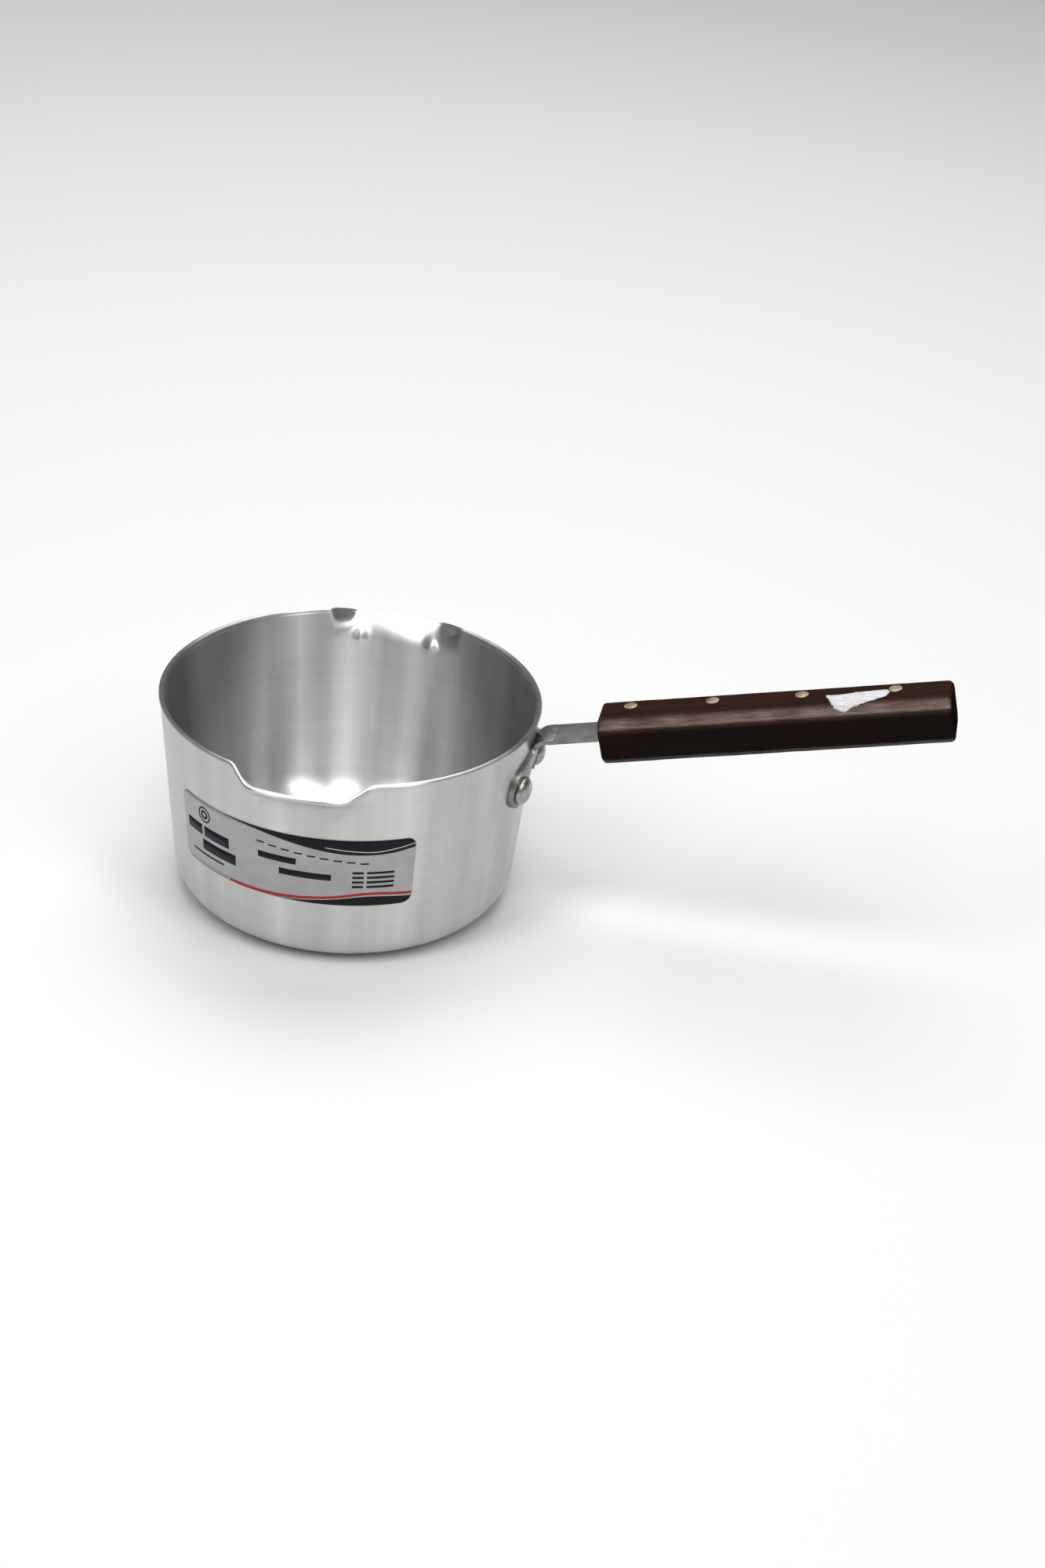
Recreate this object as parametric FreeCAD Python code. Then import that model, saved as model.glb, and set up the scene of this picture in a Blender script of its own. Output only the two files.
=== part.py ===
import FreeCAD, Part

import math
import os

from FreeCAD import Placement, Rotation, Vector

# Two-lipped aluminium melting pot with a riveted steel bracket and a wooden grip.
# Millimetres. The origin is the middle of the flat bottom, +Z is up, the handle points along +X
# and the pouring lips point along -Y and +Y.

# --- pot -------------------------------------------------------------------------------------
POT_HEIGHT = 90.0
WALL_FOOT_RADIUS = 71.15     # outer wall line, carried down to the ground
WALL_TOP_RADIUS = 79.5       # outer wall line, at the rim
WALL = 1.8
CORNER_RADIUS = 15.8         # outer radius between bottom and wall
BEAD_RADIUS = 1.15           # round of the rim, a little thicker than the wall
PRESSED_FROM = 73.0          # height where the pressed band of the wall begins

# --- pouring lips ----------------------------------------------------------------------------
LIP_TURN = -2.5              # the pressed lips sit this many degrees off square to the handle
LIP_AZIMUTHS = (-90.0 + LIP_TURN, 90.0 + LIP_TURN)
LIP_HALF_ANGLE = 12.0        # from the middle of a lip to its creases
LIP_FLANK_ANGLE = 23.0       # from the middle of a lip to where the rim is round again
LIP_OUT = 5.6
LIP_DROP = 3.9
LIP_DEPTH = 14.5             # the wall starts to bend this far below the rim
LIP_KNEE = 9.5               # and its bend is centred this far below the rim
DENT_DEPTH = 0.7             # small inward dents under the creases
DENT_HEIGHT = 77.5
DENT_SIZE = 2.6
DENT_FADE = 3.6              # they fade in over this height above the foot of the pressed band

# --- handle axis: the bracket's upper face, in the plane Y = 0 --------------------------------
HANDLE_TILT = 13.14
HANDLE_HEIGHT = 64.3         # of that face, carried in to the pot's axis

# --- bracket ---------------------------------------------------------------------------------
STRAP_WIDTH = 14.9
STRAP = 1.8                  # thickness
BEND_RADIUS = 8.0            # upper side of the bend beside the wall
TANG_END = 242.0
TANG_CORNER = 3.0
EAR_SPACING = 35.0
EAR_HEIGHT = 65.3
EAR_RADIUS = 8.0
EAR_RISE = 2.0               # the ears are stadiums, this much taller than a circle
NECK_HEIGHT = 79.0
NECK_FILLET = 3.0
ARCH_HEIGHT = 62.0

# --- rivets ----------------------------------------------------------------------------------
SHANK_RADIUS = 2.6
HEAD_RADIUS = 6.1
HEAD_HEIGHT = 4.0
HEAD_EDGE = 0.8
INNER_HEAD_RADIUS = 5.4
INNER_HEAD_HEIGHT = 1.6

# --- grip, measured along, across and above the handle axis ----------------------------------
GRIP_START = 110.1
GRIP_END = 254.5
GRIP_NEAR = -15.3
GRIP_FAR = STRAP_WIDTH / 2
GRIP_TOP = 10.2
GRIP_BOTTOM = -9.6
GRIP_CHAMFER = 3.25
GRIP_START_ROUND = 1.6
GRIP_END_ROUND = 2.0
PIN_RADIUS = 2.75
PIN_STATIONS = (122.6, 156.7, 193.4, 231.4)

# --- stickers --------------------------------------------------------------------------------
LABEL_FROM_AZIMUTH = -138.5
LABEL_TO_AZIMUTH = -56.2
LABEL_BOTTOM = 31.2
LABEL_TOP = 63.7
LABEL_THICKNESS = 0.12
LABEL_CORNER = 4.5
TAG_THICKNESS = 0.15
TAG_OUTLINE = (
    (203.4, -2.6), (205.8, -9.3), (207.0, -12.2), (207.6, -13.2), (211.7, -14.5), (214.4, -13.4),
    (218.6, -12.0), (222.5, -10.0), (228.2, -6.4), (229.4, -3.0), (228.4, -0.9), (224.4, -0.9),
    (219.8, -1.3), (215.2, -1.7), (208.9, -2.9),
)

ORIGIN = Vector(0, 0, 0)
X_AXIS = Vector(1, 0, 0)
Y_AXIS = Vector(0, 1, 0)
Z_AXIS = Vector(0, 0, 1)

WALL_LEAN = math.atan2(WALL_TOP_RADIUS - WALL_FOOT_RADIUS, POT_HEIGHT)
WALL_UP = (math.sin(WALL_LEAN), math.cos(WALL_LEAN))
BEAD_FROM_ANGLE = -math.acos((WALL - BEAD_RADIUS) / BEAD_RADIUS)
BEAD_HEIGHT = BEAD_RADIUS * (1 - math.sin(BEAD_FROM_ANGLE))


# ---------------------------------------------------------------------------- small helpers

def wall_radius(height):
    """Outer radius of the plain wall."""
    return WALL_FOOT_RADIUS + math.tan(WALL_LEAN) * height


def on_circle(radius, degrees, height):
    angle = math.radians(degrees)
    return Vector(radius * math.cos(angle), radius * math.sin(angle), height)


def half_plane(points):
    """Points given as (radius, height), placed in the XZ plane."""
    return [Vector(radius, 0, height) for radius, height in points]


def face_from(edges):
    return Part.Face(Part.Wire(Part.__sortEdges__(edges)))


def polygon_face(points):
    return Part.Face(Part.makePolygon(points + points[:1]))


def box_between(low, high):
    size = high - low
    return Part.makeBox(size.x, size.y, size.z, low)


def handle_placement():
    return Placement(Vector(0, 0, HANDLE_HEIGHT), Rotation(Y_AXIS, -HANDLE_TILT))


def placed_on_handle(shape):
    """A shape drawn along, across and above the handle axis, put in its place."""
    placed = shape.copy()
    placed.Placement = handle_placement()
    return placed


# ------------------------------------------------------------------------- pot, pressed band

def eased_ramp(x, ease=0.28):
    """0 to 1 along a straight ramp whose two ends are rounded over `ease`."""
    x = min(max(x, 0.0), 1.0)
    slope = 1 / (1 - ease)
    if x < ease:
        return slope * x * x / (2 * ease)
    if x > 1 - ease:
        return 1 - slope * (1 - x) ** 2 / (2 * ease)
    return slope * (x - ease / 2)


def turn_from_lip(azimuth):
    """Signed degrees from the middle of the nearer lip."""
    turns = [(azimuth - lip + 180) % 360 - 180 for lip in LIP_AZIMUTHS]
    return min(turns, key=abs)


def pressing(azimuth):
    """How far the lip is pressed at this azimuth: 1 between the creases, 0 on the round rim."""
    turn = abs(turn_from_lip(azimuth))
    return eased_ramp((LIP_FLANK_ANGLE - turn) / (LIP_FLANK_ANGLE - LIP_HALF_ANGLE))


def dent(azimuth, height):
    """Depth of the small inward dent under each crease."""
    across = math.radians(abs(turn_from_lip(azimuth)) - LIP_HALF_ANGLE) * wall_radius(height)
    up = height - DENT_HEIGHT
    fade_in = eased_ramp((height - PRESSED_FROM) / DENT_FADE)
    return DENT_DEPTH * fade_in * math.exp(-(across ** 2 + up ** 2) / DENT_SIZE ** 2)


def outer_point(azimuth, t):
    """Outer face of the pressed band in its half plane, t = 0 at its foot and 1 under the bead.

    Returns the point and the unit direction along the wall, each as (radius, height).
    """
    pressed = pressing(azimuth)
    top = POT_HEIGHT - BEAD_HEIGHT
    foot = (wall_radius(PRESSED_FROM), PRESSED_FROM)
    bend = (wall_radius(POT_HEIGHT - LIP_DEPTH), POT_HEIGHT - LIP_DEPTH)
    knee = (wall_radius(POT_HEIGHT - LIP_KNEE), POT_HEIGHT - LIP_KNEE)
    edge = (wall_radius(top) + pressed * LIP_OUT, top - pressed * LIP_DROP)
    straight_share = (bend[1] - foot[1]) / (top - foot[1])
    if t <= straight_share:
        u = t / straight_share
        point = [foot[i] + (bend[i] - foot[i]) * u for i in (0, 1)]
        along = WALL_UP
    else:
        u = (t - straight_share) / (1 - straight_share)
        point = [(1 - u) ** 2 * bend[i] + 2 * u * (1 - u) * knee[i] + u * u * edge[i] for i in (0, 1)]
        step = [2 * (1 - u) * (knee[i] - bend[i]) + 2 * u * (edge[i] - knee[i]) for i in (0, 1)]
        length = math.hypot(*step)
        along = (step[0] / length, step[1] / length)
    point[0] -= dent(azimuth, point[1])
    return point, along


def band_point(azimuth, t, inward):
    """A point of the pressed band, `inward` behind its outer face."""
    (radius, height), (along_r, along_z) = outer_point(azimuth, t)
    return on_circle(radius - inward * along_z, azimuth, height + inward * along_r)


def bead_point(azimuth, angle):
    """A point of the rim's round; angle 0 faces outward and 90 degrees faces up."""
    (radius, height), (along_r, along_z) = outer_point(azimuth, 1.0)
    out = BEAD_RADIUS * (math.cos(angle) - math.cos(BEAD_FROM_ANGLE))
    up = BEAD_RADIUS * (math.sin(angle) - math.sin(BEAD_FROM_ANGLE))
    return on_circle(radius + out * along_z + up * along_r, azimuth, height - out * along_r + up * along_z)


def band_azimuths():
    """Azimuths for one turn: close together over the lips, wide apart on the round rim."""
    fine_step = 0.8
    coarse_step = 4.0
    half = LIP_FLANK_ANGLE + 1.0
    azimuths = []
    for lip in LIP_AZIMUTHS:
        fine_count = round(2 * half / fine_step)
        azimuths += [lip - half + 2 * half * i / fine_count for i in range(fine_count)]
        rest = 180 - 2 * half
        coarse_count = round(rest / coarse_step)
        azimuths += [lip + half + rest * i / coarse_count for i in range(coarse_count)]
    return azimuths


def ring_surface(rows, stations):
    """A closed surface through rings of points, one ring for each station across it."""
    azimuths = band_azimuths()
    turn = [azimuth - azimuths[0] for azimuth in azimuths] + [360.0]
    rings = []
    for points in rows:
        ring = Part.BSplineCurve()
        ring.interpolate(Points=points, Parameters=turn, PeriodicFlag=True)
        rings.append(ring)
    pole_rows = [ring.getPoles() for ring in rings]
    net = []
    for across in zip(*pole_rows):
        strand = Part.BSplineCurve()
        strand.interpolate(Points=list(across), Parameters=stations)
        net.append(strand.getPoles())
    surface = Part.BSplineSurface()
    surface.buildFromPolesMultsKnots(
        net, rings[0].getMultiplicities(), strand.getMultiplicities(),
        rings[0].getKnots(), strand.getKnots(), True, False, rings[0].Degree, strand.Degree)
    return surface


def corner_point(azimuth, s, inward):
    """A point of the rounded corner, s = 0 on the bottom and 1 on the wall."""
    radius = CORNER_RADIUS - inward
    angle = -math.pi / 2 + s * (math.pi / 2 - WALL_LEAN)
    centre = wall_radius(CORNER_RADIUS) - CORNER_RADIUS / math.cos(WALL_LEAN)
    return on_circle(centre + radius * math.cos(angle), azimuth, CORNER_RADIUS + radius * math.sin(angle))


def pot_body():
    """Bottom, rounded corner, wall, pressed band and rim as rings of surface, closed by two discs."""
    azimuths = band_azimuths()
    stations = [i / 10 for i in range(11)]
    bead_arc = math.pi - BEAD_FROM_ANGLE

    def rows(point):
        return [[point(azimuth, s) for azimuth in azimuths] for s in stations]

    outer_corner = rows(lambda azimuth, s: corner_point(azimuth, s, 0))
    inner_corner = rows(lambda azimuth, s: corner_point(azimuth, s, WALL))
    outer_band = rows(lambda azimuth, s: band_point(azimuth, s, 0))
    inner_band = rows(lambda azimuth, s: band_point(azimuth, s, WALL))
    bead = rows(lambda azimuth, s: bead_point(azimuth, BEAD_FROM_ANGLE + bead_arc * s))
    rings = [outer_corner, [outer_corner[-1], outer_band[0]], outer_band, bead,
             [bead[-1], inner_band[-1]], inner_band, [inner_band[0], inner_corner[-1]], inner_corner]
    faces = []
    for ring in rings:
        across = stations if len(ring) > 2 else [0.0, 1.0]
        faces.append(ring_surface(ring, across).toShape())
    for corner in (faces[0], faces[-1]):
        edge = min(corner.Edges, key=lambda e: e.BoundBox.ZMax)
        faces.append(Part.Face(Part.Wire(edge)))
    closed = Part.makeCompound(faces)
    closed.sewShape()
    pot = Part.Solid(closed.Shells[0])
    if pot.Volume < 0:
        pot.reverse()
    for side in (-1, 1):
        pot = pot.cut(rivet_hole(side))
    return pot


# ---------------------------------------------------------------------------------- rivets

def rivet_placement(side):
    """Local +X is the rivet's axis, pointing out of the pot; its origin is on the outer wall."""
    azimuth = side * math.degrees(EAR_SPACING / 2 / wall_radius(EAR_HEIGHT))
    position = on_circle(wall_radius(EAR_HEIGHT), azimuth, EAR_HEIGHT)
    turn = Rotation(Z_AXIS, azimuth).multiply(Rotation(Y_AXIS, math.degrees(WALL_LEAN)))
    return Placement(position, turn)


def rivet_hole(side):
    reach = 10.0
    hole = Part.makeCylinder(SHANK_RADIUS, 2 * reach, Vector(-reach, 0, 0), X_AXIS)
    hole.Placement = rivet_placement(side)
    return hole


def pot_rivet(side):
    """Domed head outside, shank, and a low head inside, turned about local X.

    The flat seats touch the curved plate in the middle and the curved wall at their sides.
    """
    inner_wall_radius = wall_radius(EAR_HEIGHT) - WALL
    sag = inner_wall_radius - math.sqrt(inner_wall_radius ** 2 - INNER_HEAD_RADIUS ** 2)
    inner_seat = -WALL - sag
    inner_top = inner_seat - INNER_HEAD_HEIGHT
    inner_face_radius = INNER_HEAD_RADIUS * 0.7
    head_edge = STRAP + HEAD_EDGE
    head_top = STRAP + HEAD_HEIGHT
    dome_height = HEAD_HEIGHT - HEAD_EDGE
    dome_radius = (HEAD_RADIUS ** 2 + dome_height ** 2) / (2 * dome_height)
    half_way = math.asin(HEAD_RADIUS / dome_radius) / 2
    dome_middle = Vector(
        head_top - dome_radius * (1 - math.cos(half_way)), dome_radius * math.sin(half_way), 0)
    corners = [
        (head_top, 0), (inner_top, 0), (inner_top, inner_face_radius),
        (inner_seat - INNER_HEAD_HEIGHT / 3, INNER_HEAD_RADIUS), (inner_seat, INNER_HEAD_RADIUS),
        (inner_seat, SHANK_RADIUS), (STRAP, SHANK_RADIUS), (STRAP, HEAD_RADIUS), (head_edge, HEAD_RADIUS),
    ]
    points = [Vector(along, radius, 0) for along, radius in corners]
    edges = [Part.makeLine(start, end) for start, end in zip(points, points[1:])]
    edges.append(Part.Arc(points[-1], dome_middle, points[0]).toShape())
    rivet = Part.Face(Part.Wire(edges)).revolve(ORIGIN, X_AXIS, 360)
    rivet.Placement = rivet_placement(side)
    return rivet


# --------------------------------------------------------------------------------- bracket

def strap_path_corner():
    """Where the wall's outer face and the bracket's upper face would meet, in the XZ plane."""
    slope = math.tan(math.radians(HANDLE_TILT))
    radius = (wall_radius(0) + math.tan(WALL_LEAN) * HANDLE_HEIGHT) / (1 - math.tan(WALL_LEAN) * slope)
    return Vector(radius, 0, HANDLE_HEIGHT + slope * radius)


def bend_tangent():
    """Length from that corner to either end of the bend."""
    half_turn = (math.pi / 2 - math.radians(HANDLE_TILT) - WALL_LEAN) / 2
    return BEND_RADIUS * math.tan(half_turn)


def plate_and_bend():
    """The bracket's section beside the wall, turned about the pot's axis: plate, bend, strap root."""
    tilt = math.radians(HANDLE_TILT)
    corner = strap_path_corner()
    down = Vector(-math.sin(WALL_LEAN), 0, -math.cos(WALL_LEAN))
    out = Vector(math.cos(tilt), 0, math.sin(tilt))
    tangent = bend_tangent()
    low = corner + down * tangent
    high = corner + out * tangent
    off_wall = Vector(math.cos(WALL_LEAN), 0, -math.sin(WALL_LEAN))
    below = Vector(math.sin(tilt), 0, -math.cos(tilt))
    centre = low + off_wall * BEND_RADIUS
    to_corner = (corner - centre).normalize()
    plate_length = 25.0
    root_length = 3.0

    def side(offset):
        foot = low + down * plate_length + off_wall * offset
        start = low + off_wall * offset
        middle = centre + to_corner * (BEND_RADIUS - offset)
        end = high + below * offset
        tip = end + out * root_length
        return [Part.makeLine(foot, start), Part.Arc(start, middle, end).toShape(),
                Part.makeLine(end, tip)], foot, tip

    upper, upper_foot, upper_tip = side(0.0)
    lower, lower_foot, lower_tip = side(STRAP)
    closing = [Part.makeLine(upper_foot, lower_foot), Part.makeLine(upper_tip, lower_tip)]
    section = face_from(upper + lower + closing)
    spread = 25.0
    section.rotate(ORIGIN, Z_AXIS, -spread)
    return section.revolve(ORIGIN, Z_AXIS, 2 * spread)


def bracket_outline():
    """A prism along X with the plate's outline: neck, sloping shoulders, two ears and the arch."""
    ear_y = EAR_SPACING / 2
    near, far = 60.0, 100.0
    top = 95.0
    neck = STRAP_WIDTH / 2
    ear_top = EAR_HEIGHT + EAR_RISE
    arch_radius = math.hypot(ear_y, EAR_HEIGHT - ARCH_HEIGHT) - EAR_RADIUS
    crossing = ARCH_HEIGHT + arch_radius * (EAR_HEIGHT - ARCH_HEIGHT) / (arch_radius + EAR_RADIUS)

    # The shoulder is the tangent from the neck's corner to the top of the ear.
    away = math.hypot(ear_y - neck, NECK_HEIGHT - ear_top)
    aim = math.atan2(ear_top - NECK_HEIGHT, ear_y - neck)
    tangent_angle = aim + math.pi - math.acos(EAR_RADIUS / away)
    shoulder_y = ear_y + EAR_RADIUS * math.cos(tangent_angle)
    shoulder_z = ear_top + EAR_RADIUS * math.sin(tangent_angle)

    half = [(neck, top), (neck, NECK_HEIGHT), (shoulder_y, shoulder_z), (ear_y, ear_top), (ear_y, crossing)]
    points = half + [(-y, z) for y, z in reversed(half)]
    prism = polygon_face([Vector(near, y, z) for y, z in points]).extrude(X_AXIS * (far - near))
    corners = [edge for edge in prism.Edges
               if all(abs(abs(v.Y) - neck) < 1e-6 and abs(v.Z - NECK_HEIGHT) < 1e-6 for v in edge.Vertexes)]
    prism = prism.makeFillet(NECK_FILLET, corners)
    for side in (-1, 1):
        for height in (EAR_HEIGHT, ear_top):
            prism = prism.fuse(Part.makeCylinder(
                EAR_RADIUS, far - near, Vector(near, side * ear_y, height), X_AXIS))
        prism = prism.fuse(box_between(
            Vector(near, side * ear_y - EAR_RADIUS * (side < 0), EAR_HEIGHT),
            Vector(far, side * ear_y + EAR_RADIUS * (side > 0), ear_top)))
    arch = Part.makeCylinder(arch_radius, far - near, Vector(near, 0, ARCH_HEIGHT), X_AXIS)
    return prism.cut(arch).removeSplitter()


def tang(start):
    """The flat strap from the bend to its rounded end inside the grip."""
    strap = box_between(Vector(start, -STRAP_WIDTH / 2, -STRAP), Vector(TANG_END, STRAP_WIDTH / 2, 0))
    corners = [edge for edge in strap.Edges
               if all(abs(v.X - TANG_END) < 1e-6 for v in edge.Vertexes) and abs(edge.Length - STRAP) < 1e-6]
    return strap.makeFillet(TANG_CORNER, corners)


def handle_bracket():
    plate = plate_and_bend().common(bracket_outline())
    bend_end = strap_path_corner().x / math.cos(math.radians(HANDLE_TILT)) + bend_tangent()
    bracket = plate.fuse(placed_on_handle(tang(bend_end + 0.2))).removeSplitter()
    for side in (-1, 1):
        bracket = bracket.cut(rivet_hole(side))
    for station in PIN_STATIONS:
        bracket = bracket.cut(pin_blank(station))
    return bracket


# ------------------------------------------------------------------------------------ grip

def grip_section(grow=0.0):
    """The grip's bevelled section as a polygon across the handle axis, optionally grown."""
    near, far = GRIP_NEAR - grow, GRIP_FAR + grow
    low, high = GRIP_BOTTOM - grow, GRIP_TOP + grow
    bevel = GRIP_CHAMFER + grow * (2 - math.sqrt(2))
    corners = [
        (near + bevel, low), (far - bevel, low), (far, low + bevel), (far, high - bevel),
        (far - bevel, high), (near + bevel, high), (near, high - bevel), (near, low + bevel),
    ]
    return polygon_face([Vector(GRIP_START, y, z) for y, z in corners])


def grip_blank(grow=0.0):
    return grip_section(grow).extrude(X_AXIS * (GRIP_END - GRIP_START))


def pin_blank(station):
    """A round pin through the grip from top to bottom, in place."""
    pin = Part.makeCylinder(PIN_RADIUS, GRIP_TOP - GRIP_BOTTOM, Vector(station, 0, GRIP_BOTTOM))
    return placed_on_handle(pin)


def end_edges(shape, x):
    return [edge for edge in shape.Edges if all(abs(v.X - x) < 1e-6 for v in edge.Vertexes)]


def handle_grip():
    grip = grip_blank()
    grip = grip.makeFillet(GRIP_END_ROUND, end_edges(grip, GRIP_END))
    grip = grip.makeFillet(GRIP_START_ROUND, end_edges(grip, GRIP_START))
    kerf_end = TANG_END + 1.0
    kerf = box_between(Vector(GRIP_START - 1, -STRAP_WIDTH / 2, -STRAP), Vector(kerf_end, GRIP_FAR + 1, 0))
    grip = placed_on_handle(grip.cut(kerf))
    for station in PIN_STATIONS:
        grip = grip.cut(pin_blank(station))
    return grip


# -------------------------------------------------------------------------------- stickers

def label_corner(side, level):
    """What is cut off one corner of the label; side and level are -1 or 1."""
    azimuth = LABEL_TO_AZIMUTH if side > 0 else LABEL_FROM_AZIMUTH
    height = LABEL_TOP if level > 0 else LABEL_BOTTOM
    radius = wall_radius(height)
    inset = side * math.degrees(LABEL_CORNER / radius)
    middle = Placement(
        on_circle(radius, azimuth - inset, height - level * LABEL_CORNER),
        Rotation(Z_AXIS, azimuth - inset))
    deep, wide = 4.0, 2 * LABEL_CORNER
    low = Vector(-deep, min(0, side * wide), min(0, level * wide))
    block = box_between(low, low + Vector(2 * deep, wide, wide))
    block = block.cut(Part.makeCylinder(LABEL_CORNER, 2 * deep, Vector(-deep, 0, 0), X_AXIS))
    block.Placement = middle
    return block


def maker_label():
    """Thin foil on the plain wall, with rounded corners."""
    out = Vector(math.cos(WALL_LEAN), 0, -math.sin(WALL_LEAN)) * LABEL_THICKNESS
    low = Vector(wall_radius(LABEL_BOTTOM), 0, LABEL_BOTTOM)
    high = Vector(wall_radius(LABEL_TOP), 0, LABEL_TOP)
    section = polygon_face([low, low + out, high + out, high])
    section.rotate(ORIGIN, Z_AXIS, LABEL_FROM_AZIMUTH)
    foil = section.revolve(ORIGIN, Z_AXIS, LABEL_TO_AZIMUTH - LABEL_FROM_AZIMUTH)
    for side in (-1, 1):
        for level in (-1, 1):
            foil = foil.cut(label_corner(side, level))
    return foil


def price_tag_remnant():
    """A torn scrap of paper folded over the grip's upper near bevel."""
    skin = grip_blank(TAG_THICKNESS).cut(grip_blank())
    outline = polygon_face([Vector(along, across, 0) for along, across in TAG_OUTLINE])
    scrap = skin.common(outline.extrude(Z_AXIS * 2 * GRIP_TOP))
    return placed_on_handle(scrap.Solids[0])


# ----------------------------------------------------------------------------------- build

def build():
    """Every node's solid, by name."""
    nodes = {}
    nodes["pot_body"] = pot_body()
    nodes["handle_bracket"] = handle_bracket()
    for name, side in (("pot_rivet_front", -1), ("pot_rivet_rear", 1)):
        nodes[name] = pot_rivet(side)
    nodes["handle_grip"] = handle_grip()
    for number, station in enumerate(PIN_STATIONS, start=1):
        nodes[f"handle_pin_{number}"] = pin_blank(station)
    nodes["maker_label"] = maker_label()
    nodes["price_tag_remnant"] = price_tag_remnant()
    return nodes


def main():
    os.makedirs("parts", exist_ok=True)
    for name, shape in build().items():
        solid = shape.Solids[0] if len(shape.Solids) == 1 else shape
        box = solid.BoundBox
        print(f"{name:20s} valid {solid.isValid()} solids {len(shape.Solids)} volume {solid.Volume:9.1f} "
              f"x {box.XMin:.1f}..{box.XMax:.1f} y {box.YMin:.1f}..{box.YMax:.1f} z {box.ZMin:.1f}..{box.ZMax:.1f}")
        solid.exportStep(f"parts/{name}.step")


main()
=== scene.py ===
"""Candle melting pot: spun aluminium, riveted steel bracket, dark wooden grip.

Lengths are in millimetres until a mesh is made, in the part's own frame: +Z is up, the handle
points along +X and the two pouring lips point along -Y and +Y. The floor and the lights are in
metres.
"""

import math

import bpy
from mathutils import Matrix, Vector, geometry, noise


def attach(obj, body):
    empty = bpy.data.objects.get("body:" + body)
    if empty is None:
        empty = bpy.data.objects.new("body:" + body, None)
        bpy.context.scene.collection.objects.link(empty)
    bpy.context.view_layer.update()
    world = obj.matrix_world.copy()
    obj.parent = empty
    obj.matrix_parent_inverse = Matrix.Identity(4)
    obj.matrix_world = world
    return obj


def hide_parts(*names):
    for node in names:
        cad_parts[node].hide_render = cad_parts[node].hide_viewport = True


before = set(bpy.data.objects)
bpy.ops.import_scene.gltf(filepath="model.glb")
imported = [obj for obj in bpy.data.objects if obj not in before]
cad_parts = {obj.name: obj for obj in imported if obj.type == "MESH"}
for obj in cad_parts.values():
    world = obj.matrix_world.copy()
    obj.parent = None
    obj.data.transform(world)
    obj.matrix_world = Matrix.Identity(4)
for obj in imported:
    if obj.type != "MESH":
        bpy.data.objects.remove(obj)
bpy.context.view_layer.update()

MM = 0.001
SHARP_ANGLE = math.radians(38.0)

# --- pot, as in the CAD ------------------------------------------------------------------------
POT_HEIGHT = 90.0
WALL_FOOT_RADIUS = 71.15
WALL_TOP_RADIUS = 79.5
WALL = 1.8
CORNER_RADIUS = 15.8
BEAD_RADIUS = 1.15
PRESSED_FROM = 73.0          # the wall is plain up to this height
POT_COLUMNS = 540

# --- pouring lips ------------------------------------------------------------------------------
LIP_TURN = -2.5              # degrees off square to the handle
LIP_HALF_ANGLE = 12.0        # from a lip's middle to its creases
LIP_FLANK_ANGLE = 23.0       # from a lip's middle to the round rim
LIP_OUT = 5.6
LIP_DROP = 3.9
LIP_DEPTH = 14.5
LIP_KNEE = 9.5
DENT_DEPTH = 0.7
DENT_HEIGHT = 77.5
DENT_SIZE = 2.6
DENT_FADE = 3.6

# --- handle: the bracket's upper face, in the plane Y = 0 ---------------------------------------
HANDLE_TILT = math.radians(13.14)
HANDLE_HEIGHT = 64.3
STRAP = 1.8
STRAP_WIDTH = 14.9
STRAP_EDGE_BREAK = 0.25
TANG_END = 242.0
EAR_SPACING = 35.0
EAR_HEIGHT = 65.3

# --- rivets ------------------------------------------------------------------------------------
SHANK_RADIUS = 2.6
HEAD_RADIUS = 6.1
HEAD_HEIGHT = 4.0
HEAD_EDGE = 0.8
INNER_HEAD_RADIUS = 5.4
INNER_HEAD_HEIGHT = 1.6
TIP_RADIUS = 0.05            # the small flat that closes a turned end

# --- grip, along, across and above the handle axis ----------------------------------------------
GRIP_START = 110.1
GRIP_END = 254.5
GRIP_NEAR = -15.3
GRIP_FAR = 7.45
GRIP_TOP = 10.2
GRIP_BOTTOM = -9.6
GRIP_CHAMFER = 3.25
GRIP_START_ROUND = 1.6
GRIP_END_ROUND = 2.0
GRIP_FILLET = 0.55
WEAR_AND_HIGHLIGHT_MARGIN = 1.2          # the rubbed wood and its painted highlight reach this far past the near upper bevel
PIN_RADIUS = 2.75
PIN_PROUD = 0.07
PIN_EDGE = 0.18
PIN_STATIONS = (122.6, 156.7, 193.4, 231.4)

# --- label: azimuths in degrees, heights above the ground ---------------------------------------
LABEL_AZIMUTHS = (-138.5, -56.2)
LABEL_HEIGHTS = (31.2, 63.7)
LABEL_CORNER = 4.5
LABEL_PROUD = 0.12
LABEL_THICKNESS = 0.1
PRINT_PROUD = 0.16
PRINT_THICKNESS = 0.03
PRINT_MARGIN = 0.12
TOP_SWOOSH = (
    (-118.4, 63.6), (-104.9, 61.9), (-82.7, 57.3), (-73.3, 56.4), (-63.8, 57.0), (-56.2, 59.0))
LIGHT_LINE = ((-84.0, 59.5), (-75.7, 58.3), (-68.7, 57.9), (-61.5, 59.3), (-56.6, 60.7))
RED_LINE = (
    (-116.6, 31.9), (-112.6, 31.8), (-98.0, 32.6), (-82.3, 34.9), (-70.2, 37.2), (-56.2, 36.1))
LOW_SWOOSH = ((-102.0, 31.3), (-94.8, 31.5), (-82.3, 33.8), (-70.1, 35.8), (-56.2, 34.6))

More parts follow.
